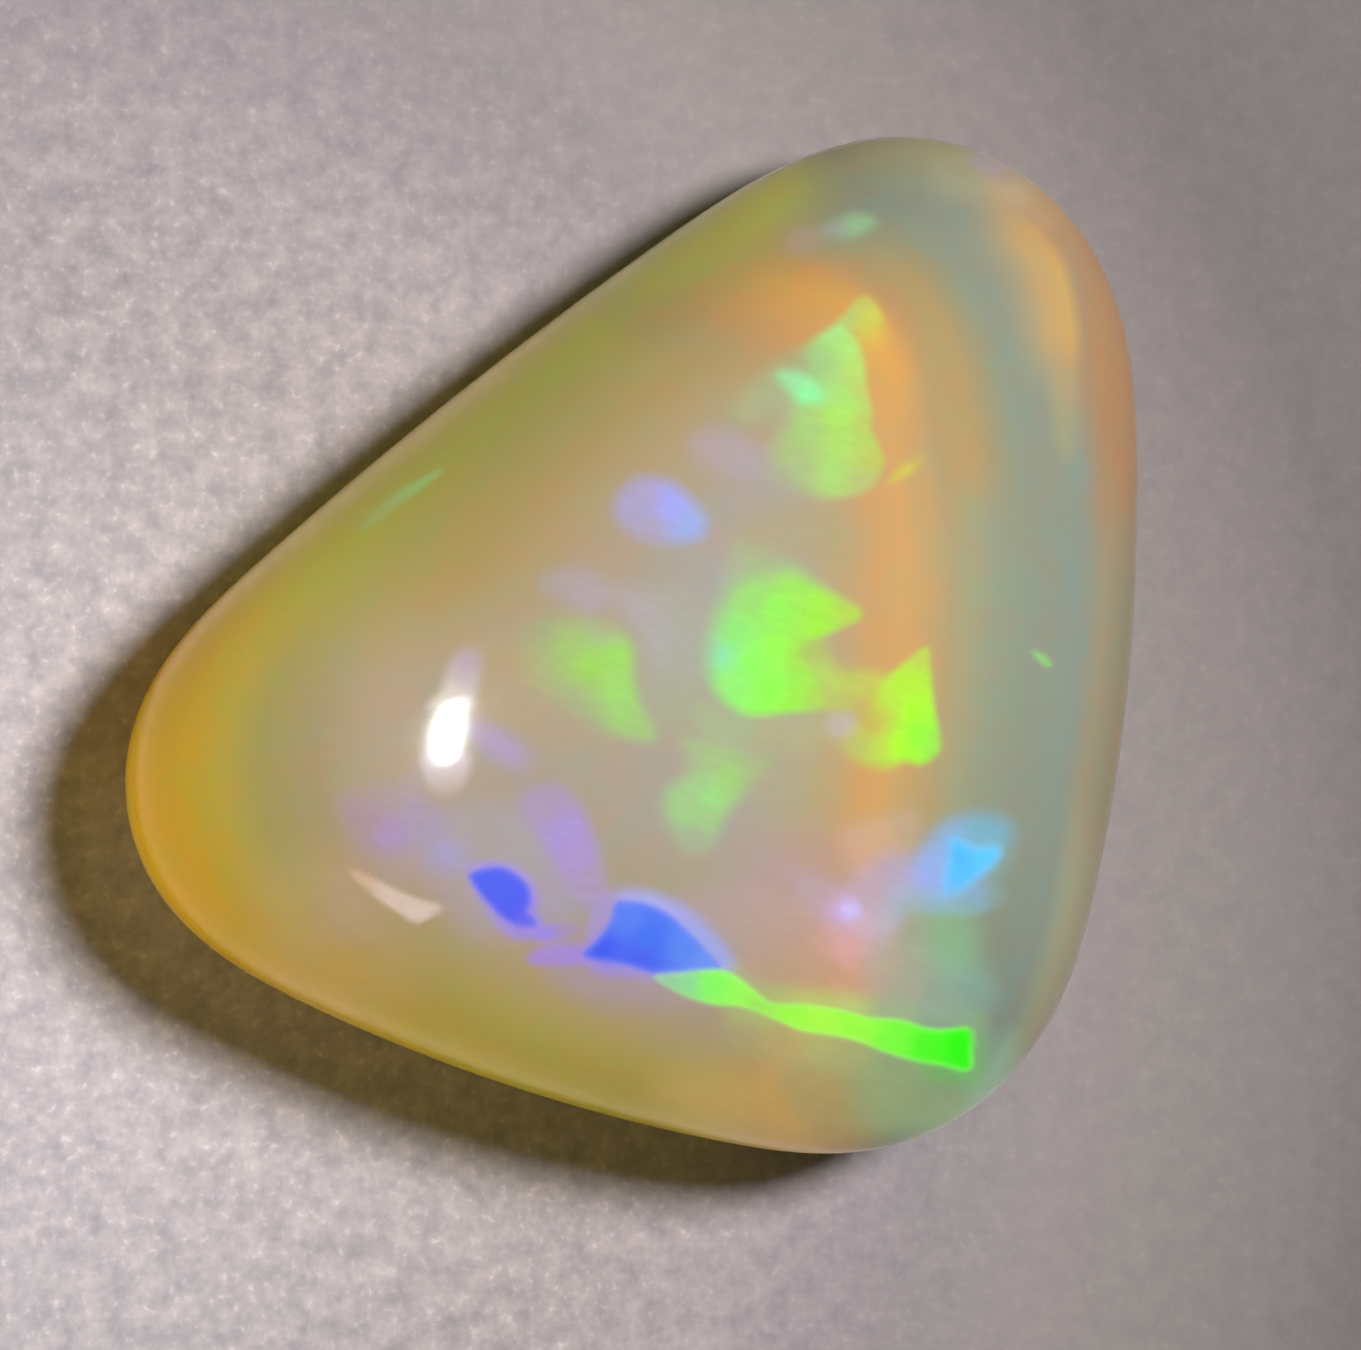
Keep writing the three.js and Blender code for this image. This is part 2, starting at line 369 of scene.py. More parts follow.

# Domains of the play of colour, drawn as they are seen from the viewpoint, from the deepest to
# the nearest. A few are painted light instead: the glow at the foot, the end of the streak of
# light, a painted reflection, and the tail and glow of the spark's highlight. Each has an outline,
# the width over which its edge fades, and one or more tints: the place of each, its colour and how
# much of the body it covers. Where it also fades out softly to one side, that has a width and a
# direction in degrees. Some have a rim, a line of another tint along the edge, with its width and
# cover.
flashes = {
    "greyVeil": {
        "outline": ((-0.48, 0.89), (0.11, 1.00), (0.37, 0.41), (0.30, -0.30), (0.11, -0.71),
                    (-0.36, -0.47), (-0.48, 0.30)),
        "edge": 0.50,
        "tints": ((-0.01, 0.30, "#a8aca4", 0.75), (0.11, -0.56, "#a2b094", 0.6)),
    },
    "tanHaze": {
        "outline": ((-2.39, 0.41), (-1.68, 0.27), (-1.35, -0.30), (-0.74, -0.83), (-1.42, -0.91),
                    (-2.13, -0.67), (-2.51, -0.18)),
        "edge": 0.40,
        "tints": ((-1.90, -0.18, "#b8a47e", 0.6), (-1.13, -0.74, "#b4a284", 0.5)),
    },
    "leftHaze": {
        "outline": ((-1.16, 1.10), (-0.48, 1.03), (-0.15, 0.71), (-0.15, 0.18), (-0.38, 0.30),
                    (-0.55, 0.58), (-0.81, 0.77), (-1.14, 0.82)),
        "edge": 0.40,
        "tints": ((-0.95, 0.91, "#b0a8b0", 0.6), (-0.62, 0.74, "#b2a8b6", 0.7),
                  (-0.30, 0.41, "#aeaab0", 0.6)),
    },
    "greenShade": {
        "outline": ((0.23, -0.35), (0.70, -0.48), (1.41, -0.48), (1.91, -0.46), (2.07, -0.72),
                    (1.41, -0.91), (0.70, -0.89), (0.28, -0.74)),
        "edge": 0.30,
        "tints": ((0.64, -0.61, "#a4bc90", 0.65), (1.12, -0.65, "#aeb484", 0.55),
                  (1.59, -0.65, "#b2b484", 0.5)),
    },
    "hazePink": {
        "outline": ((0.76, -1.95), (1.29, -1.71), (1.89, -1.89), (2.12, -2.42), (1.77, -2.90),
                    (1.18, -2.96), (0.70, -2.66)),
        "edge": 0.90,
        "tints": ((1.41, -2.40, "#b49a9a", 0.65),),
    },
    "pinkAbove": {
        "outline": ((1.91, -1.86), (2.36, -1.67), (2.81, -1.64), (2.78, -2.07), (2.50, -2.33),
                    (2.10, -2.38)),
        "edge": 0.30,
        "tints": ((2.42, -1.95, "#ccac96", 0.6), (2.67, -1.86, "#bcaa9c", 0.55),
                  (2.15, -2.21, "#d0aa9a", 0.5)),
    },
    "oliveAbove": {
        "outline": ((0.64, 1.83), (1.29, 2.13), (1.89, 1.95), (2.00, 1.36), (1.77, 1.00), (1.18, 1.30),
                    (0.67, 1.45)),
        "edge": 0.70,
        "tints": ((1.35, 1.71, "#b0a474", 0.6),),
    },
    "oliveBelow": {
        "outline": ((0.76, -0.89), (1.29, -0.77), (1.83, -1.12), (1.65, -1.71), (1.06, -1.83),
                    (0.76, -1.48)),
        "edge": 0.80,
        "tints": ((1.29, -1.30, "#aca87c", 0.5),),
    },
    "lowerHaze": {
        "outline": ((-5.03, -2.42), (-4.50, -2.13), (-3.79, -2.19), (-3.32, -3.01), (-3.08, -3.66),
                    (-3.91, -3.96), (-4.67, -3.49)),
        "edge": 0.90,
        "tints": ((-4.67, -2.66, "#c0a878", 0.5), (-3.91, -2.78, "#c4a494", 0.5),
                  (-3.97, -3.55, "#c4a064", 0.5)),
    },
    "coolHaze": {
        "outline": ((-3.97, -1.62), (-3.37, -1.55), (-2.49, -1.48), (-1.66, -1.62), (-1.13, -2.01),
                    (-0.93, -2.60), (-1.40, -2.92), (-2.37, -3.09), (-3.02, -2.57), (-3.67, -2.28)),
        "edge": 0.50,
        "tints": ((-3.76, -1.89, "#aa94a8", 0.5), (-3.14, -2.21, "#ae9eac", 0.6),
                  (-2.43, -2.07, "#aca6b4", 0.6), (-1.84, -2.16, "#aaa8b8", 0.7),
                  (-1.60, -2.57, "#a8a2c0", 0.75)),
    },
    "bluishHaze": {
        "outline": ((-1.66, -2.96), (-0.72, -3.07), (0.23, -2.54), (1.29, -2.54), (1.79, -3.01),
                    (1.59, -3.72), (0.94, -3.72), (0.23, -3.90), (-0.72, -3.90), (-1.42, -3.66)),
        "edge": 0.45,
        "tints": ((-1.19, -3.19, "#aa9ab8", 0.6), (0.11, -3.31, "#b0a0b4", 0.5),
                  (1.18, -3.07, "#bca2a4", 0.55), (1.18, -3.55, "#bca494", 0.55),
                  (-0.60, -3.72, "#ac9ab4", 0.6)),
    },
    # painted light: the foot of the orange band where light gathers inside
    "footGlow": {
        "outline": ((-0.2, -4.9), (0.6, -5.5), (1.6, -5.7), (2.2, -5.4), (2.2, -4.9), (1.5, -4.4),
                    (0.8, -4.6)),
        "edge": 0.9,
        "tints": ((1.60, -4.5, "#d0b47c", 0.8), (1.1, -5.2, "#ceac66", 0.75),
                  (2.0, -5.4, "#b89e60", 0.8)),
    },
    "paleFoot": {
        "outline": ((2.26, -3.25), (2.81, -3.11), (3.30, -3.39), (3.72, -3.66), (3.68, -3.98),
                    (3.07, -4.05), (2.48, -3.96), (2.22, -3.72)),
        "edge": 0.28,
        "tints": ((2.45, -3.43, "#b4b0a0", 0.6), (2.65, -3.63, "#a6ac9c", 0.8),
                  (3.13, -3.82, "#94aa9a", 0.8), (3.54, -3.84, "#869e96", 0.7)),
    },
    "leftGreen": {
        "outline": ((-1.78, 0.41), (-1.52, 0.57), (-1.19, 0.63), (-0.75, 0.54), (-0.57, 0.32),
                    (-0.55, -0.01), (-0.47, -0.34), (-0.31, -0.69), (-0.42, -0.77), (-0.83, -0.66),
                    (-1.14, -0.45), (-1.45, -0.20), (-1.71, 0.06)),
        "edge": 0.22,
        "fade": (0.7, 170),
        "tints": ((-1.07, 0.11, "#9cd85c", 0.95), (-0.81, 0.24, "#9adc66", 0.95),
                  (-0.90, 0.50, "#a6c490", 0.75), (-0.76, -0.20, "#9cdc70", 0.92),
                  (-0.69, -0.46, "#9cd478", 0.9), (-1.21, -0.28, "#a4c07c", 0.75),
                  (-1.02, -0.47, "#a0c482", 0.75), (-0.53, -0.63, "#a0cc80", 0.85),
                  (-1.38, 0.30, "#a0cc74", 0.8), (-1.63, 0.30, "#a6bc7c", 0.7)),
    },
    "lowerGreen": {
        "outline": ((0.04, -0.77), (0.29, -0.78), (0.62, -0.87), (0.85, -0.96), (1.07, -1.02),
                    (0.92, -1.19), (0.73, -1.41), (0.55, -1.65), (0.42, -1.90), (0.27, -2.09),
                    (0.04, -2.07), (-0.10, -1.83), (-0.20, -1.57), (-0.15, -1.36), (0.02, -1.22),
                    (0.08, -1.03)),
        "edge": 0.26,
        "fade": (0.3, 190),
        "tints": ((0.35, -1.44, "#98dc88", 1.0), (0.57, -1.22, "#9cd078", 0.95),
                  (0.14, -1.62, "#9ecc8c", 0.95), (0.16, -1.36, "#a0cc90", 0.9),
                  (0.14, -1.00, "#a4be8e", 0.75), (0.37, -0.98, "#a4c488", 0.85),
                  (0.85, -1.09, "#a4bc84", 0.75), (0.18, -1.93, "#a6ba9a", 0.6),
                  (0.37, -1.74, "#9ecc88", 0.85)),
    },
    "greenLink": {
        "outline": ((1.29, 0.34), (1.48, 0.46), (1.70, 0.41), (1.86, 0.15), (2.03, 0.08), (2.36, 0.04),
                    (2.45, -0.13), (2.41, -0.34), (2.17, -0.44), (1.96, -0.46), (1.77, -0.44),
                    (1.60, -0.30), (1.44, -0.11)),
        "edge": 0.22,
        "tints": ((1.48, 0.27, "#a8cc60", 0.9), (1.67, 0.32, "#aebc68", 0.8),
                  (1.65, 0.04, "#acd464", 0.9), (1.86, -0.08, "#b4d460", 0.85),
                  (2.12, -0.18, "#bccc5c", 0.85), (2.33, -0.20, "#c2c858", 0.8),
                  (2.19, -0.39, "#c4ac6c", 0.5), (1.96, -0.34, "#b4c468", 0.75),
                  (1.91, 0.13, "#b8b86c", 0.7)),
    },
    "violetDot": {
        "outline": ((1.74, -0.53), (1.86, -0.45), (2.03, -0.47), (2.10, -0.61), (1.98, -0.73),
                    (1.79, -0.72)),
        "edge": 0.20,
        "tints": ((1.91, -0.60, "#bcb2b4", 0.7),),
    },
    "centralGreen": {
        "outline": ((0.68, 1.48), (0.92, 1.48), (1.24, 1.32), (1.58, 1.09), (1.89, 0.91), (2.09, 0.80),
                    (2.12, 0.67), (1.91, 0.56), (1.67, 0.45), (1.48, 0.38), (1.41, 0.30), (1.48, 0.15),
                    (1.60, -0.06), (1.67, -0.25), (1.66, -0.40), (1.24, -0.45), (0.85, -0.48),
                    (0.64, -0.40), (0.47, -0.26), (0.36, -0.02), (0.34, 0.24), (0.42, 0.59),
                    (0.56, 0.98)),
        "edge": 0.14,
        "fade": (0.5, 140),
        "tints": ((1.94, 0.74, "#b0d854", 0.9), (1.63, 0.85, "#a2ea50", 1.0),
                  (1.41, 0.98, "#9ce460", 1.0), (1.63, 0.58, "#a0e84a", 1.0),
                  (1.15, 0.79, "#92f05c", 1.0), (0.85, 0.89, "#98e070", 0.9),
                  (0.64, 0.48, "#8eea78", 0.95), (0.48, 0.24, "#8ae4b0", 0.95),
                  (0.62, -0.08, "#92f078", 0.95), (0.85, 0.15, "#8efa64", 1.0),
                  (1.15, 0.30, "#98f654", 1.0), (1.41, 0.24, "#a2dc54", 0.9),
                  (1.06, -0.15, "#8cfc56", 1.0), (1.34, -0.30, "#9aea50", 1.0),
                  (1.60, -0.32, "#a8d858", 0.85), (1.03, 1.38, "#a4c080", 0.65),
                  (0.75, 1.34, "#a4c08c", 0.6)),
    },
    "rightGreen": {
        "outline": ((2.90, 0.33), (2.95, 0.13), (2.97, -0.14), (3.01, -0.45), (3.07, -0.76),
                    (3.04, -0.92), (2.85, -1.05), (2.64, -1.02), (2.45, -1.09), (2.18, -1.05),
                    (1.98, -0.93), (1.96, -0.79), (2.07, -0.60), (2.22, -0.39), (2.33, -0.18),
                    (2.43, -0.04), (2.64, 0.14)),
        "edge": 0.12,
        "fade": (0.3, 190),
        "tints": ((2.85, 0.18, "#b8d856", 0.85), (2.77, -0.06, "#b0e840", 0.95),
                  (2.62, -0.18, "#b0f040", 0.95), (2.48, -0.35, "#b4e84c", 0.9),
                  (2.74, -0.41, "#a4ff34", 1.0), (2.81, -0.73, "#8cff3c", 1.0),
                  (2.59, -0.83, "#aafc34", 1.0), (2.33, -0.89, "#b8dc50", 0.85),
                  (2.10, -0.86, "#b4c870", 0.75), (3.00, -0.79, "#98e854", 0.85),
                  (2.26, -0.56, "#c4bc54", 0.6), (2.38, -0.44, "#bcd04c", 0.75)),
    },
    "upperGreen": {
        "outline": ((1.92, 4.17), (2.03, 4.05), (2.12, 3.90), (2.17, 3.72), (2.20, 3.43), (2.23, 3.13),
                    (1.94, 3.10), (1.55, 3.12), (1.24, 3.09), (0.94, 3.05), (0.72, 3.09), (0.74, 3.24),
                    (0.96, 3.48), (1.19, 3.66), (1.50, 3.91), (1.77, 4.10)),
        "edge": 0.12,
        "fade": (0.5, 190),
        "tints": ((1.83, 4.04, "#a8e68c", 0.95), (2.00, 3.90, "#ace67c", 0.95),
                  (2.12, 3.66, "#b8e070", 0.95), (2.17, 3.35, "#bcd06a", 0.9),
                  (1.96, 3.24, "#a8e478", 0.95), (1.65, 3.70, "#9cd088", 0.9),
                  (1.39, 3.65, "#a0b488", 0.75), (1.55, 3.26, "#98ee98", 0.9),
                  (1.13, 3.23, "#a8b490", 0.7)),
    },
    "innerGreen": {
        "outline": ((1.48, 3.16), (2.22, 3.16), (2.25, 2.90), (2.35, 2.71), (2.41, 2.54), (2.36, 2.38),
                    (2.24, 2.20), (2.03, 2.12), (1.72, 2.09), (1.42, 2.19), (1.15, 2.32), (1.03, 2.47),
                    (1.11, 2.74), (1.27, 2.97)),
        "edge": 0.12,
        "fade": (0.4, 180),
        "tints": ((1.91, 3.07, "#a8e868", 0.95), (2.19, 3.01, "#b8cc6a", 0.9),
                  (2.15, 2.66, "#b4d468", 0.9), (1.91, 2.72, "#a8e06c", 0.95),
                  (1.80, 2.42, "#a8dc78", 0.95), (1.48, 2.84, "#a4d07c", 0.9),
                  (1.27, 2.59, "#a8c480", 0.85), (1.42, 2.42, "#a8c486", 0.85),
                  (1.22, 2.42, "#a8b888", 0.75), (2.33, 2.55, "#b8cc60", 0.75),
                  (2.19, 2.28, "#b2c47c", 0.8)),
    },
    "yellowTip": {
        "outline": ((2.07, 4.43), (2.17, 4.48), (2.26, 4.44), (2.36, 4.30), (2.43, 4.08), (2.43, 3.88),
                    (2.41, 3.70), (2.31, 3.72), (2.19, 3.84), (2.09, 3.98), (1.97, 4.10), (1.86, 4.17),
                    (1.97, 4.30)),
        "edge": 0.12,
        "fade": (0.4, 270),
        "tints": ((2.18, 4.40, "#bcc868", 0.85), (2.28, 4.26, "#ccd45c", 0.95),
                  (2.38, 4.03, "#dcb854", 0.9), (2.41, 3.82, "#e0aa5c", 0.7),
                  (2.19, 4.11, "#cccc58", 0.9), (2.00, 4.22, "#b0d078", 0.9)),
    },
    "mintSpot": {
        "outline": ((1.15, 3.56), (1.39, 3.58), (1.58, 3.45), (1.64, 3.30), (1.47, 3.23), (1.28, 3.36)),
        "edge": 0.19,
        "tints": ((1.32, 3.48, "#9ce4a8", 0.9), (1.51, 3.33, "#92f4a6", 0.95)),
    },
    "yellowStreak": {
        "outline": ((2.46, 2.28), (2.62, 2.47), (2.87, 2.60), (2.84, 2.48), (2.67, 2.35)),
        "edge": 0.12,
        "tints": ((2.65, 2.41, "#cec656", 0.9), (2.82, 2.55, "#c0b864", 0.7)),
    },
    "greenDash": {
        "outline": ((4.15, 0.27), (4.27, 0.25), (4.39, 0.13), (4.30, 0.11)),
        "edge": 0.08,
        "tints": ((4.27, 0.19, "#8cd278", 0.8),),
    },
    "topMint": {
        "outline": ((1.67, 5.24), (1.81, 5.37), (2.03, 5.45), (2.24, 5.41), (2.29, 5.32), (2.10, 5.19),
                    (1.86, 5.15)),
        "edge": 0.20,
        "tints": ((2.10, 5.32, "#94c692", 0.75), (1.79, 5.27, "#a2aca6", 0.6)),
    },
    "topBlush": {
        "outline": ((1.25, 5.20), (1.50, 5.30), (1.66, 5.16), (1.50, 4.98), (1.28, 5.02)),
        "edge": 0.25,
        "tints": ((1.45, 5.1, "#b4968f", 0.5),),
    },
    "edgeDash": {
        "outline": ((-3.79, 1.78), (-3.41, 2.12), (-2.89, 2.42), (-2.84, 2.38), (-3.27, 2.04),
                    (-3.67, 1.74)),
        "edge": 0.12,
        "tints": ((-3.05, 2.25, "#96be70", 0.85), (-3.60, 1.85, "#98b478", 0.5)),
    },
    "lavender": {
        "outline": ((-0.72, 2.14), (-0.50, 2.32), (-0.17, 2.29), (0.11, 2.08), (0.30, 1.81),
                    (0.21, 1.62), (-0.17, 1.56), (-0.53, 1.64), (-0.76, 1.88)),
        "edge": 0.28,
        "tints": ((-0.10, 2.01, "#a4a8ff", 0.95), (0.09, 1.81, "#98b0f4", 0.85),
                  (-0.48, 2.12, "#aaa5dc", 0.75), (-0.36, 1.71, "#aaa6d4", 0.7)),
    },
    "lavenderAbove": {
        "outline": ((0.11, 2.78), (0.47, 2.92), (0.89, 2.71), (1.03, 2.45), (0.70, 2.35),
                    (0.23, 2.52)),
        "edge": 0.35,
        "tints": ((0.55, 2.60, "#b2a5b6", 0.6),),
    },
    "lavenderLeft": {
        "outline": ((-1.66, 1.12), (-1.19, 1.29), (-0.88, 1.00), (-1.00, 0.74), (-1.42, 0.86)),
        "edge": 0.30,
        "tints": ((-1.2, 1.0, "#b0a5b4", 0.6),),
    },
    "violetGlow": {
        "outline": ((-1.85, -1.41), (-1.60, -1.30), (-1.39, -1.35), (-1.16, -1.60), (-1.02, -1.93),
                    (-0.94, -2.28), (-0.89, -2.57), (-1.06, -2.70), (-1.26, -2.61), (-1.47, -2.29),
                    (-1.66, -1.95), (-1.85, -1.64)),
        "edge": 0.26,
        "tints": ((-1.60, -1.55, "#ac98c8", 0.75), (-1.37, -1.87, "#aa96e2", 0.9),
                  (-1.19, -2.13, "#ac96dc", 0.85), (-1.05, -2.45, "#ae98c8", 0.75)),
    },
    "violetLeft": {
        "outline": ((-4.02, -1.48), (-3.76, -1.36), (-3.37, -1.24), (-3.10, -1.15), (-3.02, -1.48),
                    (-3.14, -1.89), (-3.32, -2.07), (-3.65, -2.02), (-3.88, -1.83)),
        "edge": 0.35,
        "tints": ((-3.75, -1.74, "#aa96aa", 0.65), (-3.42, -1.93, "#ac96d0", 0.8),
                  (-3.49, -1.36, "#ae9cac", 0.65), (-3.20, -1.24, "#b4a6b8", 0.6)),
    },
    "blueLeft": {
        "outline": ((-3.17, -1.48), (-2.84, -1.62), (-2.49, -1.93), (-2.56, -2.30), (-2.90, -2.30),
                    (-3.10, -2.07), (-3.22, -1.77)),
        "edge": 0.35,
        "tints": ((-2.96, -1.89, "#a89ec4", 0.75), (-2.77, -2.10, "#a4a2d8", 0.8),
                  (-3.08, -1.62, "#a89cc0", 0.65), (-2.61, -1.83, "#aea4b8", 0.6)),
    },
    "violetUnder": {
        "outline": ((-2.46, -0.58), (-2.25, -0.58), (-1.96, -0.74), (-1.73, -0.98), (-1.85, -1.15),
                    (-2.13, -1.03), (-2.39, -0.83)),
        "edge": 0.25,
        "tints": ((-2.28, -0.77, "#b2a0cc", 0.75), (-1.99, -0.89, "#ae9ed0", 0.8),
                  (-1.83, -1.03, "#b4a2bc", 0.6)),
    },
    "violetTie": {
        "outline": ((-1.80, -3.33), (-1.60, -3.20), (-1.25, -3.19), (-1.05, -3.23), (-1.05, -3.39),
                    (-1.42, -3.43), (-1.72, -3.42)),
        "edge": 0.15,
        "tints": ((-1.48, -3.31, "#a88ee8", 0.85), (-1.21, -3.30, "#a68cf4", 0.85)),
    },
    "violetTieAbove": {
        "outline": ((-1.72, -3.04), (-1.47, -2.94), (-1.22, -2.97), (-1.35, -3.10), (-1.60, -3.14)),
        "edge": 0.12,
        "tints": ((-1.63, -3.04, "#9c8cff", 0.85), (-1.31, -2.97, "#a892cc", 0.7)),
    },
    "blueHalo": {
        "outline": ((-1.05, -2.75), (-0.81, -2.57), (-0.48, -2.55), (-0.15, -2.64), (0.17, -2.83),
                    (0.44, -3.11), (0.63, -3.39), (0.56, -3.53), (0.11, -3.59), (-0.60, -3.56),
                    (-1.07, -3.44)),
        "edge": 0.24,
        "tints": ((-0.48, -2.62, "#a8b0ff", 0.9), (0.49, -3.23, "#9cacf8", 0.85),
                  (-0.90, -2.80, "#a698f0", 0.6), (-1.01, -3.39, "#9c8cf8", 0.8)),
    },
    "blueLarge": {
        "outline": ((-1.14, -3.33), (-1.00, -3.13), (-0.85, -2.92), (-0.80, -2.75), (-0.73, -2.67),
                    (-0.55, -2.67), (-0.36, -2.71), (-0.15, -2.81), (0.04, -2.97), (0.21, -3.13),
                    (0.35, -3.30), (0.47, -3.44), (0.37, -3.49), (0.09, -3.51), (-0.30, -3.53),
                    (-0.64, -3.44)),
        "edge": 0.07,
        "rim": (0.10, "#8896ff", 0.5),
        "tints": ((-0.98, -3.26, "#4862ff", 1.0), (-0.62, -2.87, "#5e84ff", 1.0),
                  (-0.36, -3.11, "#4a78ff", 1.0), (-0.46, -3.39, "#5066ff", 1.0),
                  (0.04, -3.19, "#5e8cff", 1.0), (0.30, -3.39, "#6c96ff", 1.0)),
    },
    "blueSmallHalo": {
        "outline": ((-2.52, -2.28), (-2.32, -2.20), (-2.12, -2.21), (-1.91, -2.28), (-1.76, -2.42),
                    (-1.67, -2.65), (-1.68, -2.80), (-1.60, -2.97), (-1.66, -3.11), (-1.96, -3.11),
                    (-2.16, -2.98), (-2.32, -2.75), (-2.46, -2.54)),
        "edge": 0.14,
        "tints": ((-2.13, -2.23, "#a496f4", 0.8), (-2.37, -2.72, "#a294ee", 0.75),
                  (-1.78, -3.07, "#a08cf4", 0.8)),
    },
    "blueSmall": {
        "outline": ((-2.48, -2.35), (-2.32, -2.28), (-2.10, -2.27), (-1.90, -2.38), (-1.78, -2.52),
                    (-1.76, -2.68), (-1.80, -2.79), (-1.70, -2.90), (-1.74, -2.98), (-1.94, -2.97),
                    (-2.11, -2.87), (-2.25, -2.73), (-2.39, -2.57), (-2.48, -2.43)),
        "edge": 0.07,
        "rim": (0.09, "#8084ff", 0.6),
        "tints": ((-2.25, -2.42, "#546aff", 1.0), (-2.02, -2.58, "#546aff", 1.0),
                  (-1.99, -2.73, "#5664ff", 1.0), (-1.80, -2.93, "#6c6cff", 0.95)),
    },
    "cyanHalo": {
        "outline": ((2.89, -2.01), (3.07, -1.81), (3.36, -1.67), (3.78, -1.69), (3.94, -1.89),
                    (3.87, -2.19), (3.66, -2.48), (3.48, -2.72), (3.07, -2.73), (2.65, -2.71),
                    (2.48, -2.54), (2.65, -2.28)),
        "edge": 0.35,
        "tints": ((2.95, -2.16, "#90b4f6", 0.85), (3.13, -1.93, "#84b4e8", 0.85),
                  (3.60, -1.86, "#74b4d0", 0.85), (2.85, -2.42, "#96b0fc", 0.85),
                  (2.63, -2.54, "#a8b0ee", 0.8), (3.78, -2.21, "#80aeb0", 0.7),
                  (3.48, -2.62, "#94acd0", 0.75)),
    },
    "cyanFoot": {
        "outline": ((2.59, -2.47), (3.07, -2.54), (3.60, -2.45), (3.85, -2.54), (3.73, -2.75),
                    (3.24, -2.85), (2.77, -2.78)),
        "edge": 0.16,
        "tints": ((2.77, -2.64, "#98b4d4", 0.7), (3.13, -2.67, "#8cb6ea", 0.8),
                  (3.48, -2.64, "#82accc", 0.75), (3.75, -2.58, "#88a8a4", 0.5)),
    },
    "cyanCore": {
        "outline": ((3.22, -1.93), (3.48, -2.02), (3.76, -2.02), (3.75, -2.19), (3.54, -2.38),
                    (3.33, -2.55), (3.14, -2.62), (3.08, -2.45), (3.14, -2.21)),
        "edge": 0.18,
        "rim": (0.12, "#98d4ff", 0.3),
        "tints": ((3.24, -2.13, "#58bcff", 1.0), (3.60, -2.07, "#5cc8ff", 0.95),
                  (3.33, -2.34, "#58c0ff", 1.0), (3.13, -2.49, "#6abcff", 0.85)),
    },
    "pinkVeil": {
        "outline": ((1.12, -2.25), (1.55, -2.35), (1.89, -2.48), (2.18, -2.28), (2.54, -2.09),
                    (2.74, -2.30), (2.77, -2.60), (2.65, -2.92), (2.42, -3.19), (2.15, -3.37),
                    (1.86, -3.31), (1.71, -2.96), (1.41, -2.64)),
        "edge": 0.35,
        "tints": ((1.18, -2.33, "#b49cac", 0.5), (1.59, -2.57, "#b4a4b4", 0.65),
                  (1.94, -2.84, "#c4a8e4", 0.85), (2.22, -2.52, "#b8a6c0", 0.75),
                  (2.54, -2.28, "#b0a4c4", 0.75), (2.62, -2.75, "#a8b4d0", 0.8),
                  (2.13, -2.99, "#ccb4d4", 0.85), (1.86, -3.13, "#ccacc0", 0.8),
                  (2.42, -2.99, "#b8b8d0", 0.8), (2.00, -3.27, "#d0aab4", 0.7)),
    },
    "pinkSpot": {
        "outline": ((1.89, -2.72), (2.03, -2.67), (2.12, -2.75), (2.07, -2.86), (1.94, -2.87)),
        "edge": 0.18,
        "tints": ((2.00, -2.77, "#ccc0fc", 0.9),),
    },
    "greenGhost": {
        "outline": ((2.65, -2.72), (3.01, -2.70), (3.36, -2.72), (3.48, -2.96), (3.52, -3.31),
                    (3.60, -3.66), (3.42, -3.84), (3.19, -3.66), (2.95, -3.43), (2.74, -3.19)),
        "edge": 0.55,
        "tints": ((2.77, -3.01, "#9cb09c", 0.65), (3.07, -3.04, "#8ab48c", 0.8),
                  (3.30, -3.25, "#88b890", 0.85), (3.42, -3.66, "#84b0a0", 0.7)),
    },
    "footBlush": {
        "outline": ((1.65, -3.07), (2.00, -3.04), (2.36, -3.13), (2.48, -3.43), (2.31, -3.81),
                    (1.89, -3.87), (1.59, -3.66), (1.53, -3.31)),
        "edge": 0.50,
        "tints": ((1.99, -3.29, "#d8a4a4", 0.8), (1.92, -3.66, "#cca48c", 0.75),
                  (1.72, -3.51, "#c49e90", 0.6), (2.36, -3.39, "#b8aaa0", 0.6)),
    },
    "footGreen": {
        "outline": ((2.3, -4.7), (3.3, -4.8), (3.9, -4.3), (3.7, -5.1), (2.9, -5.5), (2.2, -5.3)),
        "edge": 0.6,
        "tints": ((2.9, -5.0, "#94b080", 0.8), (3.7, -4.5, "#8ebca0", 0.75)),
    },
    "footOlive": {
        "outline": ((1.32, -4.50), (2.00, -4.46), (2.55, -4.62), (2.65, -5.12), (2.15, -5.40),
                    (1.55, -5.31), (1.20, -4.93)),
        "edge": 0.40,
        "tints": ((1.65, -5.00, "#a69c6c", 0.65), (2.22, -4.79, "#9aac80", 0.6)),
    },
    "topTan": {
        "outline": ((3.07, 5.95), (3.36, 5.87), (3.78, 5.95), (4.13, 5.80), (4.44, 5.47), (4.63, 5.14),
                    (4.43, 5.07), (4.01, 5.44), (3.60, 5.61), (3.13, 5.73)),
        "edge": 0.55,
        "tints": ((3.30, 5.83, "#a4a484", 0.6), (3.92, 5.66, "#b8a07c", 0.85),
                  (4.32, 5.43, "#b4926c", 0.9), (4.53, 5.19, "#ac8864", 0.85)),
    },
    "topPink": {
        "outline": ((3.45, 6.13), (3.61, 6.15), (3.82, 6.04), (3.94, 5.87), (3.82, 5.82), (3.61, 5.95),
                    (3.45, 6.03)),
        "edge": 0.25,
        "tints": ((3.68, 5.99, "#9c8ca4", 0.7), (3.87, 5.87, "#9c8c88", 0.5)),
    },
    # painted light: the faint end of the streak of light
    "streakEnd": {
        "outline": ((4.39, 3.58), (4.63, 3.58), (4.70, 3.25), (4.67, 2.78), (4.58, 2.54), (4.46, 2.72),
                    (4.39, 3.19)),
        "edge": 0.26,
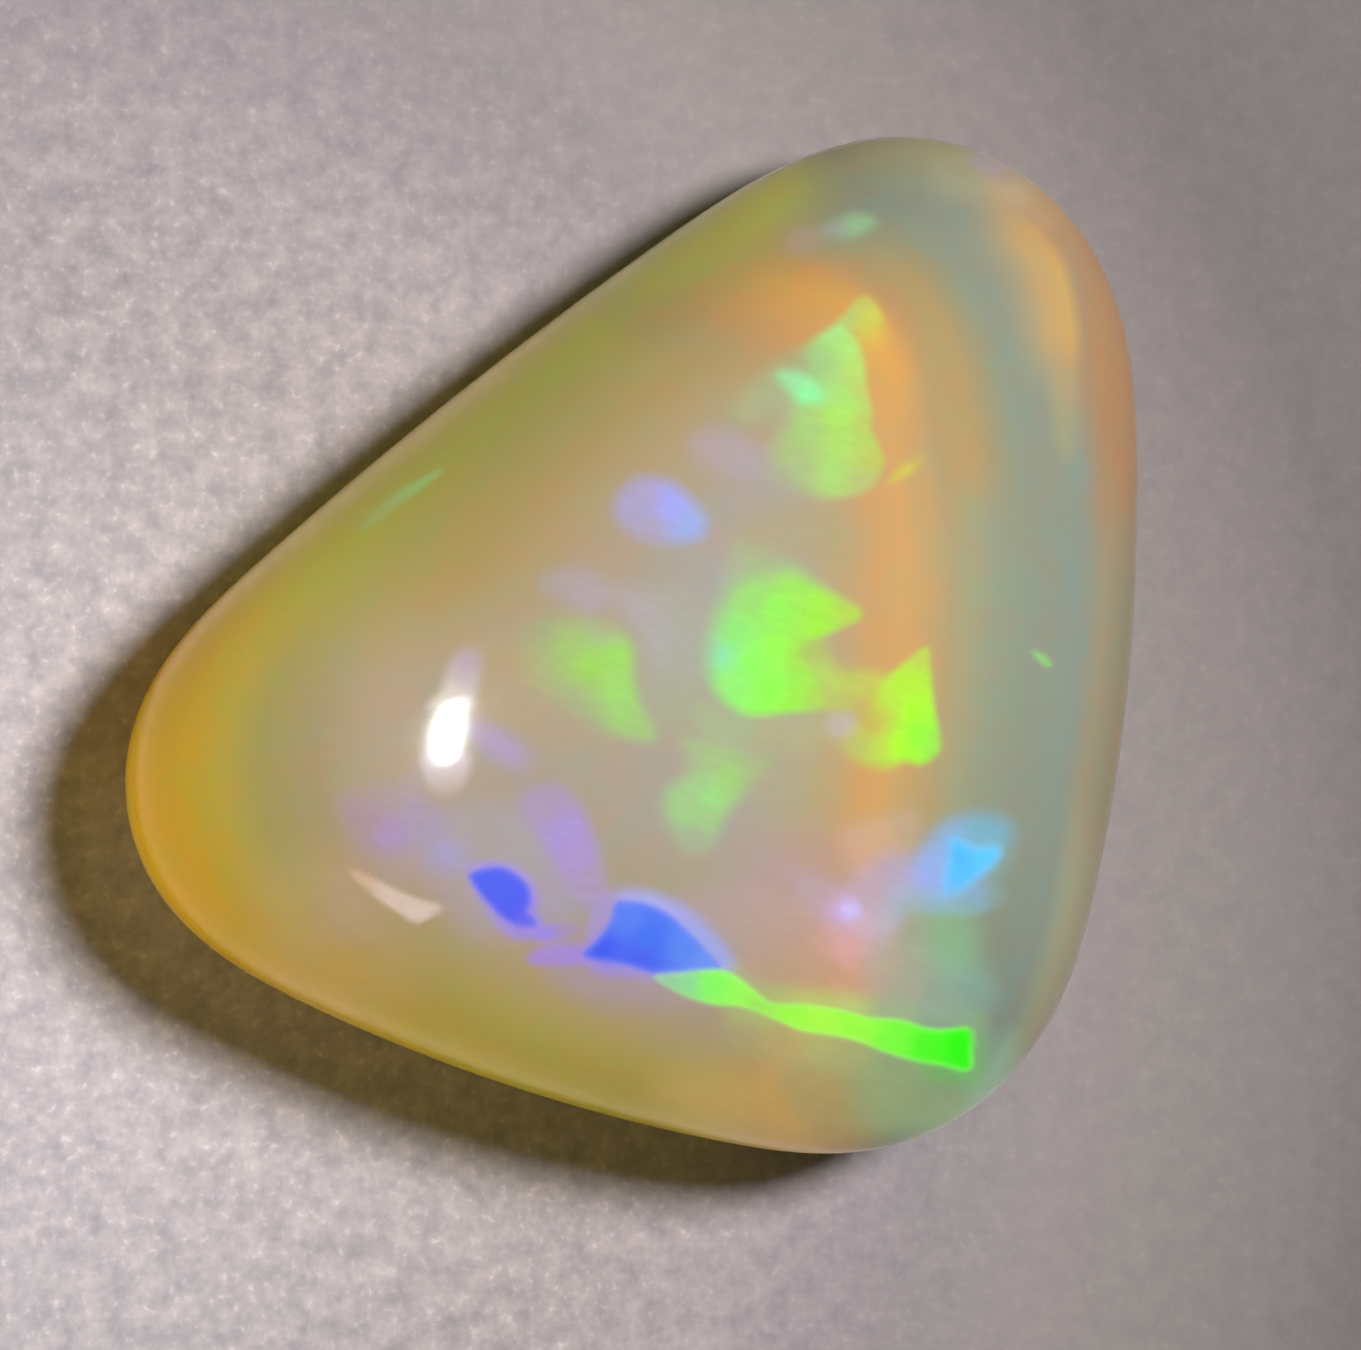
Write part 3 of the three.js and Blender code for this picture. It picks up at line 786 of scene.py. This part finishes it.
        "tints": ((4.56, 3.35, "#b2a47a", 0.5), (4.56, 2.90, "#a8a478", 0.45)),
    },
    "barRim": {
        "outline": ((0.60, -3.46), (0.90, -3.63), (1.41, -3.70), (1.94, -3.77), (2.65, -3.87),
                    (3.30, -3.91), (3.60, -4.05), (3.61, -4.57), (3.47, -4.86), (3.15, -4.83),
                    (2.68, -4.79), (2.36, -4.74), (1.91, -4.67), (1.06, -4.55), (0.53, -4.34)),
        "edge": 0.30,
        "tints": ((0.94, -3.91, "#aed080", 0.6), (1.60, -3.91, "#b8d878", 0.7),
                  (2.00, -3.91, "#bcd884", 0.75), (2.48, -3.98, "#a0bc94", 0.7),
                  (3.07, -4.01, "#90b098", 0.7), (1.18, -4.43, "#b8b07c", 0.6),
                  (2.00, -4.55, "#a8ba80", 0.6), (2.48, -4.65, "#94b084", 0.6),
                  (3.19, -4.62, "#70c860", 0.6), (0.70, -4.36, "#b0ac80", 0.55)),
    },
    "greenBar": {
        "outline": ((-0.31, -3.57), (0.04, -3.51), (0.48, -3.48), (0.73, -3.61), (0.92, -3.76),
                    (1.09, -3.87), (1.48, -3.89), (1.94, -3.96), (2.23, -4.04), (2.61, -4.07),
                    (2.89, -4.16), (3.09, -4.18), (3.37, -4.16), (3.45, -4.24), (3.46, -4.42),
                    (3.41, -4.68), (3.09, -4.62), (2.80, -4.57), (2.42, -4.46), (2.13, -4.34),
                    (1.85, -4.27), (1.42, -4.20), (1.19, -4.10), (0.90, -3.98), (0.67, -3.91),
                    (0.42, -3.90), (0.04, -3.79)),
        "edge": 0.08,
        "rim": (0.08, "#b4ff8c", 0.35),
        "tints": ((-0.15, -3.59, "#96dcb0", 0.7), (0.02, -3.63, "#8ee2a0", 0.95),
                  (0.41, -3.66, "#88ff68", 1.0), (0.70, -3.79, "#9aff60", 1.0),
                  (0.94, -3.89, "#9eec60", 0.95), (1.29, -4.01, "#a0ff50", 1.0),
                  (1.65, -4.10, "#acff50", 1.0), (2.12, -4.21, "#9cff4c", 1.0),
                  (2.48, -4.33, "#7cff48", 1.0), (2.95, -4.43, "#50ff2c", 1.0),
                  (3.30, -4.43, "#30ff14", 1.0)),
    },
    # a painted reflection: a pale pinkish-white bar in the polish
    "reflectionBar": {
        "outline": ((-3.92, -2.32), (-3.73, -2.35), (-3.42, -2.51), (-3.09, -2.65), (-2.83, -2.73),
                    (-2.90, -2.81), (-3.13, -2.92), (-3.39, -2.77), (-3.69, -2.55)),
        "edge": 0.08,
        "tints": ((-3.85, -2.40, "#d2b8a0", 0.8), (-3.37, -2.61, "#d8c6c0", 0.95),
                  (-2.96, -2.77, "#d8c8c4", 0.95)),
    },
    # a painted highlight: the pale tail of the spark's highlight
    "sparkHighlightTail": {
        "outline": ((-2.96, -0.39), (-2.82, -0.18), (-2.74, 0.08), (-2.64, 0.25), (-2.51, 0.31),
                    (-2.37, 0.24), (-2.36, 0.02), (-2.42, -0.20), (-2.49, -0.39)),
        "edge": 0.20,
        "tints": ((-2.50, 0.15, "#baacc8", 0.65), (-2.55, -0.04, "#c8bcd0", 0.75),
                  (-2.64, -0.20, "#dcd4d4", 0.85), (-2.75, -0.33, "#eee6dc", 0.85)),
    },
    # a painted highlight: the soft glow below the spark's highlight
    "sparkHighlightGlow": {
        "outline": ((-3.03, -0.91), (-2.54, -0.91), (-2.49, -1.12), (-2.63, -1.36), (-2.87, -1.38),
                    (-3.02, -1.22)),
        "edge": 0.18,
        "tints": ((-2.77, -1.12, "#dcd6e2", 0.8), (-2.74, -1.31, "#ccc0c4", 0.6)),
    },
}


# How the tints of a domain mix, and where the play of colour ends on the side that faces away
play = {
    "tintCore": 0.1,         # within about this distance a tint is pure
    "tintPower": 3,          # beyond it, a tint's weight falls with this power of the distance
    "lostAt": -0.6,          # cosine between the surface and the eye at which none is left
}


def paintFlashes(places, facing):
    # Each domain covers what lies deeper: its own cover is a smooth step over its edge, times
    # the cover of its tints, which mix by an inverse power of the distance to each, with the
    # core's width added in the square. The edge widens towards the fading side, with the square
    # of a raised cosine. A rim line mixes its tint in by its cover, times one minus a smooth
    # step over its width. All of it fades out over the part that faces away.
    light = np.zeros((len(places), 3))
    cover = np.zeros(len(places))
    for flash in flashes.values():
        outline = np.array(flash["outline"])
        width, fadeWay = flash.get("fade", (flash["edge"], 0))
        low, high = outline.min(0) - width / 2, outline.max(0) + width / 2
        near = np.flatnonzero(((places > low) & (places < high)).all(1) & (facing > 0))
        spots = np.array([tint[:2] for tint in flash["tints"]])
        colours = np.array([linearColour(tint[2]) for tint in flash["tints"]])
        covers = np.array([tint[3] for tint in flash["tints"]])
        spread = ((places[near][:, None] - spots) ** 2).sum(-1) + play["tintCore"] ** 2
        weights = spread ** (-play["tintPower"] / 2)
        weights /= weights.sum(1, keepdims=True)
        offset = places[near] - outline.mean(0)
        way = np.arctan2(offset[:, 1], offset[:, 0]) - np.radians(fadeWay)
        edge = flash["edge"] + (width - flash["edge"]) * (0.5 + 0.5 * np.cos(way)) ** 2
        inside = insideDistance(places[near], outline)
        share = smoothStep(-edge / 2, edge / 2, inside)
        tint = weights @ colours
        if "rim" in flash:
            rimWidth, rimTint, rimCover = flash["rim"]
            line = rimCover * (1 - smoothStep(0, rimWidth, inside))[:, None]
            tint = tint * (1 - line) + linearColour(rimTint) * line
        share *= weights @ covers * facing[near]
        light[near] = light[near] * (1 - share[:, None]) + tint * share[:, None]
        cover[near] = cover[near] * (1 - share) + share
    return light, cover


# Zones of the body's colour, from the innermost to the last one over it. Most of them paint light
# into it: the amber glow of the rim, the orange bands where light gathers inside, the streak of
# light and the bands along the far rim. Along an attribute there are stops, each with its place,
# colour and cover, and a zone fades out between two distances from a point, all as seen from the
# viewpoint.
zones = {
    # partly painted glow: the body's tint turns lighter and yellow towards the rim all round, where
    # light leaves the stone
    "sides": {
        "along": "edgeRun", "span": (0.0, 1.0), "centre": (0, 0), "fade": (30, 40),
        "stops": ((0.36, "#c8c0b4", 0.0), (0.54, "#d6c8b2", 0.8), (0.66, "#dfda8c", 1.0),
                  (0.80, "#eae66c", 1.0), (1.0, "#f7e850", 1.0)),
    },
    # painted glow: amber along the narrow corner's rim, where light leaves the stone
    "amberCorner": {
        "along": "edgeRun", "span": (0.0, 1.0), "centre": (-6.6, -2.0), "fade": (1.6, 6.0),
        "stops": ((0.36, "#c8bab0", 0.0), (0.54, "#c4b9b2", 0.8), (0.62, "#bcb59f", 1.0),
                  (0.70, "#bfbf85", 1.0), (0.76, "#dccf6f", 1.0), (0.84, "#f0d450", 1.0),
                  (1.0, "#f3c830", 1.0)),
    },
    # painted glow: yellow along the rim of the upper side
    "upperSide": {
        "along": "edgeRun", "span": (0.0, 1.0), "centre": (-2.2, 4.8), "fade": (3.4, 5.4),
        "stops": ((0.18, "#c3b4a0", 0.0), (0.40, "#cab890", 0.8), (0.52, "#ccba84", 1.0),
                  (0.64, "#ccc882", 1.0), (0.78, "#d8e064", 1.0), (1.0, "#f4e450", 1.0)),
    },
    # painted light: the orange band where light gathers inside, along the glow line
    "glow": {
        "along": "glowLine", "span": (-1.6, 1.6), "centre": (0, 0), "fade": (30, 40),
        "stops": ((0.0, "#c8b68c", 0.0), (0.156, "#cfb689", 0.8), (0.27, "#dcb47e", 1.0),
                  (0.385, "#e3b77b", 1.0), (0.50, "#cfb483", 1.0), (0.556, "#c1b28a", 1.0),
                  (0.616, "#b6b490", 1.0), (0.728, "#a4af98", 1.0), (0.875, "#9ea898", 1.0)),
    },
    # painted light: the same orange band, stronger near the top
    "topGlow": {
        "along": "glowLine", "span": (-1.6, 1.6), "centre": (1.85, 4.4), "fade": (0.9, 2.0),
        "stops": ((0.20, "#dcb47e", 0.0), (0.34, "#ecb874", 0.8), (0.44, "#eebc6c", 1.0),
                  (0.52, "#e6b472", 0.9), (0.58, "#dab07a", 0.5), (0.64, "#c8b088", 0.0)),
    },
    # painted glow: yellow along the rim at the top
    "topOlive": {
        "along": "edgeRun", "span": (0.0, 1.0), "centre": (-0.2, 5.9), "fade": (1.2, 2.4),
        "stops": ((0.56, "#c8b880", 0.0), (0.68, "#ccc07c", 0.7), (0.80, "#d8dc70", 1.0),
                  (1.0, "#eeee76", 1.0)),
    },
    # painted light: a second, fainter band of gathered light beside it
    "secondBand": {
        "along": "glowLine", "span": (-1.6, 1.6), "centre": (3.2, 3.7), "fade": (1.0, 2.2),
        "stops": ((0.50, "#c8a878", 0.0), (0.60, "#caac76", 0.8), (0.68, "#c8ac76", 0.85),
                  (0.76, "#b8a87c", 0.6), (0.85, "#a0a88c", 0.0)),
    },
    # partly painted light: pale grey-green bands along the far rim, light bent by the dome's edge, over
    # the stone's own tint
    "farRim": {
        "along": "rimLine", "span": (-0.5, 0.5), "centre": (0, 0), "fade": (30, 40),
        "stops": ((0.0, "#98a8a0", 0.0), (0.28, "#96aaa4", 0.6), (0.42, "#9aa698", 0.6),
                  (0.52, "#a8a48e", 0.8), (0.62, "#aca488", 1.0), (0.82, "#a29e82", 1.0),
                  (0.95, "#a09472", 1.0)),
    },
    # partly painted light: the far rim's orange-brown band at the upper corner
    "cornerRim": {
        "along": "rimLine", "span": (-0.5, 0.5), "centre": (5.2, 4.0), "fade": (1.4, 3.0),
        "stops": ((0.25, "#b89c80", 0.0), (0.50, "#ba9670", 0.8), (0.75, "#be946a", 1.0),
                  (1.0, "#ba8c62", 1.0)),
    },
    # partly painted light: the far rim's bands at the foot
    "footRim": {
        "along": "rimLine", "span": (-0.5, 0.5), "centre": (4.4, -4.0), "fade": (1.5, 3.0),
        "stops": ((0.40, "#9ab4a8", 0.0), (0.56, "#a8b69e", 0.7), (0.68, "#b0b294", 0.9),
                  (0.85, "#aaa488", 0.9), (1.0, "#a09478", 0.9)),
    },
    # partly painted light: the far rim's band at the top
    "topRim": {
        "along": "edgeRun", "span": (0.0, 1.0), "centre": (2.9, 6.6), "fade": (0.8, 1.8),
        "stops": ((0.70, "#b8b890", 0.0), (0.84, "#bcb68c", 0.8), (1.0, "#bcac76", 1.0)),
    },
    # a darker, orange-brown band beside the painted streak of light
    "streakShade": {
        "along": "streakLine", "span": (-1.0, 1.0), "centre": (4.9, 4.6), "fade": (1.0, 2.2),
        "stops": ((0.16, "#bc8c64", 0.0), (0.28, "#c09468", 0.85), (0.42, "#bc9a74", 0.75),
                  (0.52, "#c4a078", 0.5), (0.60, "#c8a47c", 0.0)),
    },
    # painted light: the streak of light in the corner behind
    "streak": {
        "along": "streakLine", "span": (-1.0, 1.0), "centre": (4.4, 4.6), "fade": (0.5, 1.4),
        "stops": ((0.39, "#d8b070", 0.0), (0.47, "#e2b872", 0.9), (0.61, "#deb678", 0.8),
                  (0.75, "#c8b488", 0.4), (0.90, "#b0b090", 0.0)),
    },
    # painted glow: the under-edge, which lies in shade, is painted pale amber as if light left the
    # stone there
    "underGlow": {
        "along": "edgeRun", "span": (1.0, 2.0), "centre": (-3.6, -4.2), "fade": (3.2, 4.8),
        "stops": ((0.0, "#f8d880", 0.0), (0.45, "#ffeaa0", 0.9), (1.0, "#fff0b0", 0.9)),
    },
}

# Precious opal: hydrated silica, cut and polished to a glass-like gloss. Milky and translucent,
# so the eye gets a soft glow from inside; the amber where light leaves by the thin rim is painted
# into the body's colour.
opalFinish = {
    "ior": 1.43,
    "roughness": 0.10,
    "gloss": 0.15,                   # a soft room shows faintly in the polish
    "subsurface": 0.4,
    "subsurfaceReach": 1.5,          # how far red light wanders inside
    "subsurfaceShares": (1.0, 0.7, 0.5),    # red, green and blue, as shares of that reach
    "transmission": 0.12,
    # a painted glow: the play of colour, with its painted highlights and reflection, gives light of its
    # own
    "flashStrength": 0.55,           # light of its own in the play of colour
    "flashCover": 0.68,              # and the share of its tint that needs light from outside
    "lineWidth": 0.10,               # fine lines in it: their width, how much longer than wide
    "lineStretch": 3.0,              # they are, the degrees by which they slope, and their depth
    "lineSlope": -18.0,
    "lineDepth": 0.025,
    "noiseSpan": (0.35, 0.65),       # the middle part of a noise, which is spread out to the full
    "noiseDetail": 2.0,
    "noiseRoughness": 0.5,
    "mottleSize": 0.45,              # a faint drift of tint over the whole body
    "mottleFactors": ((0.96, 1.02, 1.03), (1.04, 0.98, 0.97)),
    "cloudSize": 2.5,
    "cloudTints": ("#bcb8c2", "#bfbaac"),
}


def makeOpal():
    material, tree = newMaterial("polished precious opal")
    reach = opalFinish["subsurfaceReach"] * millimetre
    noiseSpan = opalFinish["noiseSpan"]
    noiseKind = opalFinish["noiseDetail"], opalFinish["noiseRoughness"]
    coordinates = addNode(tree, "TexCoord", {}).outputs["Object"]
    seen = addNode(tree, "Attribute", {"attribute_name": "seen"}).outputs["Vector"]
    flash = addNode(tree, "Attribute", {"attribute_name": "flashLight"})

    # the milky middle drifts between two tints in clouds
    clouds = addNoise(tree, opalFinish["cloudSize"] * millimetre, *noiseKind, coordinates)
    stops = [(place, tint, 1.0) for place, tint in zip(noiseSpan, opalFinish["cloudTints"])]
    body = addNode(tree, "ValToRGB", {"stops": stops}, {"Fac": clouds}).outputs["Color"]

    for zone in zones.values():
        along = addNode(tree, "Attribute", {"attribute_name": zone["along"]})
        place = addRange(tree, zone["span"], along.outputs["Fac"])
        ramp = addNode(tree, "ValToRGB", {"stops": zone["stops"]}, {"Fac": place})
        distance = addNode(
            tree, "VectorMath", {"operation": "DISTANCE", 1: (*zone["centre"], 0)}, {0: seen},
        )
        fullAt, lostAt = zone["fade"]
        near = addNode(
            tree, "MapRange",
            {"interpolation_type": "SMOOTHSTEP", "From Min": lostAt, "From Max": fullAt},
            {"Value": distance.outputs["Value"]},
        )
        share = addNode(
            tree, "Math", {"operation": "MULTIPLY"},
            {0: ramp.outputs["Alpha"], 1: near.outputs[0]},
        )
        blend = addNode(
            tree, "Mix", {"data_type": "RGBA"},
            {0: share.outputs[0], 6: body, 7: ramp.outputs["Color"]},
        )
        body = blend.outputs[2]

    mottle = addNoise(tree, opalFinish["mottleSize"] * millimetre, *noiseKind, coordinates)
    drift = addRange(tree, noiseSpan, mottle)
    mottled = addProduct(tree, body, addFactor(tree, opalFinish["mottleFactors"], drift))

    # the play of colour covers the body, and adds a painted glow, light of its own, with fine parallel
    # lines
    covered = addNode(
        tree, "Mix", {"data_type": "RGBA", 7: (0, 0, 0, 1)},
        {0: flash.outputs["Alpha"], 6: mottled},
    )
    sloped = addNode(
        tree, "Mapping",
        {"vector_type": "TEXTURE", "Rotation": (0, 0, np.radians(opalFinish["lineSlope"])),
         "Scale": (opalFinish["lineStretch"], 1, 1)},
        {"Vector": seen},
    )
    grain = addNoise(tree, opalFinish["lineWidth"], *noiseKind, sloped.outputs["Vector"])
    depth = opalFinish["lineDepth"]
    uneven = addRange(tree, noiseSpan, grain, (1 - depth, 1 + depth))
    flicker = addProduct(tree, flash.outputs["Color"], uneven)
    colour = addNode(
        tree, "Mix", {"data_type": "RGBA", "blend_type": "ADD", 0: opalFinish["flashCover"]},
        {6: covered.outputs[2], 7: flicker},
    )
    surface = addNode(
        tree, "BsdfPrincipled",
        {"IOR": opalFinish["ior"], "Roughness": opalFinish["roughness"],
         "Transmission Weight": opalFinish["transmission"],
         "Specular IOR Level": opalFinish["gloss"],
         "Subsurface Weight": opalFinish["subsurface"],
         "Subsurface Radius": opalFinish["subsurfaceShares"], "Subsurface Scale": reach,
         "Emission Strength": opalFinish["flashStrength"]},
        {"Base Color": colour.outputs[2], "Emission Color": flicker},
    )
    addNode(tree, "OutputMaterial", {}, {"Surface": surface.outputs["BSDF"]})
    return material


def makeStone():
    points, run = stoneGrid()
    rings = stone["domeRings"] + stone["underRings"] + stone["baseRings"] - 1
    mesh = bpy.data.meshes.new("opalCabochon")
    mesh.from_pydata(points * millimetre, [], gridFaces(rings, stone["columns"]))
    mesh.polygons.foreach_set("use_smooth", np.ones(len(mesh.polygons), bool))

    places = seenPlace(points)
    normals = np.zeros(len(points) * 3)
    mesh.vertices.foreach_get("normal", normals)
    normals = normals.reshape(-1, 3)
    toEye = eyePoint - points
    cosine = (toEye * normals).sum(1) / np.linalg.norm(toEye, axis=1)
    facing = smoothStep(play["lostAt"], 0, cosine)
    light, cover = paintFlashes(places, facing)
    values = {name: pathSide(places, path) for name, path in innerLines.items()}
    values["edgeRun"] = run
    for name, value in values.items():
        attribute = mesh.attributes.new(name, "FLOAT", "POINT")
        attribute.data.foreach_set("value", value.astype(np.float32))
    seen = np.column_stack([places, np.zeros(len(places))])
    attribute = mesh.attributes.new("seen", "FLOAT_VECTOR", "POINT")
    attribute.data.foreach_set("vector", seen.astype(np.float32).ravel())
    attribute = mesh.attributes.new("flashLight", "FLOAT_COLOR", "POINT")
    attribute.data.foreach_set("color", np.column_stack([light, cover]).astype(np.float32).ravel())

    piece = bpy.data.objects.new("opalCabochon", mesh)
    bpy.context.scene.collection.objects.link(piece)
    mesh.materials.append(makeOpal())
    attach(piece, "root")
    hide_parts("opal")
    return points, normals


stonePoints, stoneNormals = makeStone()
print("stone made")


# The surface that the stone rests on: matte, finely grained and pale grey. A pool of light is
# painted into its colour, so its tone falls off with the distance from the middle of the pool.
ground = {
    "halfWidth": 400.0,
    "poolMiddle": (-9.2, -4.4),
    "poolReach": 20.0,
    # the painted pool of light: the floor's tone at each share of the reach, brightest in the middle
    "paintedPoolTones": ((0.15, "#d9d3dd", 1.0), (0.31, "#cbc5cd", 1.0), (0.45, "#bcb4ba", 1.0),
              (0.56, "#b5adb4", 1.0), (0.61, "#aba3ab", 1.0), (0.69, "#a19aa0", 1.0),
              (0.76, "#a19a9d", 1.0), (0.84, "#999394", 1.0), (0.92, "#8f898b", 1.0),
              (1.0, "#7f797c", 1.0)),
    "blotches": 0.32,                # size of the soft blotches, and their factors on the tone
    "blotchFactors": ((0.82, 0.83, 0.86), (1.20, 1.19, 1.16)),
    "blotchDetail": 3.0,
    "grain": 0.12,
    "grainDepth": 0.08,
    "grainDetail": 2.0,
    "noiseSpan": (0.3, 0.7),         # the middle part of a noise, which is spread out to the full
    "noiseRoughness": 0.55,
    "fleck": 0.25,                   # how much brighter the finest flecks are
    "fleckSpan": (0.60, 0.76),       # the part of the grain's noise over which a fleck comes in
    "textureFade": (0.5, 0.75),      # where the texture gets weaker, as shares of the reach
    "textureLeft": 0.3,              # and what is left of it on the dim side
    "roughness": 0.9,
    "gloss": 0.1,
}


def makeGround():
    material, tree = newMaterial("matte pale paper")
    coordinates = addNode(tree, "TexCoord", {}).outputs["Object"]
    roughness = ground["noiseRoughness"]
    blotches = addNoise(
        tree, ground["blotches"] * millimetre, ground["blotchDetail"], roughness, coordinates,
    )
    grain = addNoise(
        tree, ground["grain"] * millimetre, ground["grainDetail"], roughness, coordinates,
    )
    distance = addNode(
        tree, "VectorMath",
        {"operation": "DISTANCE", 1: tuple(v * millimetre for v in (*ground["poolMiddle"], 0))},
        {0: coordinates},
    )
    reach = ground["poolReach"] * millimetre
    place = addRange(tree, (0.0, reach), distance.outputs["Value"])
    tone = addNode(tree, "ValToRGB", {"stops": ground["paintedPoolTones"]}, {"Fac": place})

    # light grazes the surface more in the painted pool, so its texture is painted weaker on the dim
    # side
    relief = addRange(tree, ground["textureFade"], place, (1.0, ground["textureLeft"]))
    blotchShare = addRange(tree, ground["noiseSpan"], blotches)
    blotch = addFactor(tree, ground["blotchFactors"], blotchShare)
    depth = ground["grainDepth"]
    rough = addRange(tree, ground["noiseSpan"], grain, (1 - depth, 1 + depth))
    fleck = addRange(tree, ground["fleckSpan"], grain, (0.0, ground["fleck"]))
    fine = addNode(tree, "Math", {"operation": "ADD"}, {0: rough, 1: fleck})
    shown = addNode(
        tree, "Mix", {"data_type": "RGBA", 6: (1, 1, 1, 1)},
        {0: relief, 7: addProduct(tree, blotch, fine.outputs[0])},
    )
    surface = addNode(
        tree, "BsdfPrincipled",
        {"Roughness": ground["roughness"], "Specular IOR Level": ground["gloss"]},
        {"Base Color": addProduct(tree, tone.outputs["Color"], shown.outputs[2])},
    )
    addNode(tree, "OutputMaterial", {}, {"Surface": surface.outputs["BSDF"]})

    half = ground["halfWidth"] * millimetre
    mesh = bpy.data.meshes.new("ground")
    mesh.from_pydata([(-half, -half, 0), (half, -half, 0), (half, half, 0), (-half, half, 0)],
                     [], [(0, 1, 2, 3)])
    mesh.materials.append(material)
    floor = bpy.data.objects.new("ground", mesh)
    bpy.context.scene.collection.objects.link(floor)


makeGround()
print("ground made")


# Studio light. A lamp has the direction it stands in, its distance, width, colour, power and the
# one object that it lights. Two lamps share the work of one main light: the key lights only the
# stone, evenly, and the near key lights only the ground, where it throws the wider shadow of a
# lamp close by. The fill stands for the light that a milky stone gathers on the side away from
# the key. The spark only shows in the polish, where the dome mirrors it to the viewpoint.
lamps = {
    "key": {"azimuth": 32.5, "elevation": 62.4, "distance": 350.0, "width": 79.0,
            "height": 117.0, "roll": 61.0, "colour": "#fffaf8", "watts": 1.22,
            "lights": "opalCabochon"},
    "nearKey": {"azimuth": 37.0, "elevation": 67.5, "distance": 72.0, "width": 16.0,
                "height": 24.0, "roll": 61.0, "colour": "#fffaf8", "watts": 0.0547,
                "lights": "ground"},
    "fill": {"azimuth": 200.0, "elevation": 15.0, "distance": 300.0, "width": 120.0,
             "colour": "#ffe19b", "watts": 0.42, "lights": "opalCabochon"},
}
spark = {
    "place": (-3.42, -1.00, 4.81),    # on the dome
    "distance": 200.0,
    "width": 15.0,
    "height": 68.0,
    "roll": 8.0,
    "colour": "#ffffff",
    "watts": 0.5,
}
surround = {"shown": "#b9afab", "lit": "#454428"}


def makeLamp(name, lamp, place, target):
    # a lamp shines along its own -Z, which is turned to its target with its Y level, then rolled
    data = bpy.data.lights.new(name, "AREA")
    data.shape = "ELLIPSE"
    data.size = lamp["width"] * millimetre
    data.size_y = lamp.get("height", lamp["width"]) * millimetre
    data.energy = lamp["watts"]
    data.color = linearColour(lamp["colour"])
    holder = bpy.data.objects.new(name, data)
    holder.location = place * millimetre
    away = (place - target) / np.linalg.norm(place - target)
    turn = Euler((0, np.arccos(away[2]), np.arctan2(away[1], away[0]))).to_quaternion()
    roll = Euler((0, 0, np.radians(lamp.get("roll", 0)))).to_quaternion()
    holder.rotation_euler = (turn @ roll).to_euler()
    holder.visible_transmission = False
    bpy.context.scene.collection.objects.link(holder)
    return holder


def makeLamps():
    heart = np.array([0, 0, stone["girdleHeight"]])
    for name, lamp in lamps.items():
        azimuth, elevation = np.radians(lamp["azimuth"]), np.radians(lamp["elevation"])
        flat = np.cos(elevation)
        way = np.array([flat * np.cos(azimuth), flat * np.sin(azimuth), np.sin(elevation)])
        holder = makeLamp(name, lamp, heart + lamp["distance"] * way, heart)
        holder.visible_glossy = False
        lit = bpy.data.collections.new("lit by the " + name)
        lit.objects.link(bpy.data.objects[lamp["lights"]])
        holder.light_linking.receiver_collection = lit


def makeSpark(points, normals):
    # the mirror law: the way to the lamp is the way to the eye, flipped over the normal
    place = np.array(spark["place"])
    nearest = np.linalg.norm(points - place, axis=1).argmin()
    normal = normals[nearest]
    toEye = eyePoint - place
    toEye /= np.linalg.norm(toEye)
    toLamp = 2 * (normal @ toEye) * normal - toEye
    holder = makeLamp("spark", spark, place + spark["distance"] * toLamp, place)
    holder.visible_diffuse = False


def makeSurround():
    # what the eye sees past the ground is pale, and what lights the stone is a dim warm room
    world = bpy.data.worlds.new("room")
    world.use_nodes = True
    tree = world.node_tree
    tree.nodes.clear()
    ray = addNode(tree, "LightPath", {})
    colour = addNode(
        tree, "Mix",
        {"data_type": "RGBA", 6: (*linearColour(surround["lit"]), 1),
         7: (*linearColour(surround["shown"]), 1)},
        {0: ray.outputs["Is Camera Ray"]},
    )
    backdrop = addNode(tree, "Background", {}, {"Color": colour.outputs[2]})
    addNode(tree, "OutputWorld", {}, {"Surface": backdrop.outputs["Background"]})
    bpy.context.scene.world = world


makeLamps()
makeSpark(stonePoints, stoneNormals)
makeSurround()
bpy.context.scene.view_settings.view_transform = "Standard"
print("lamps lit")
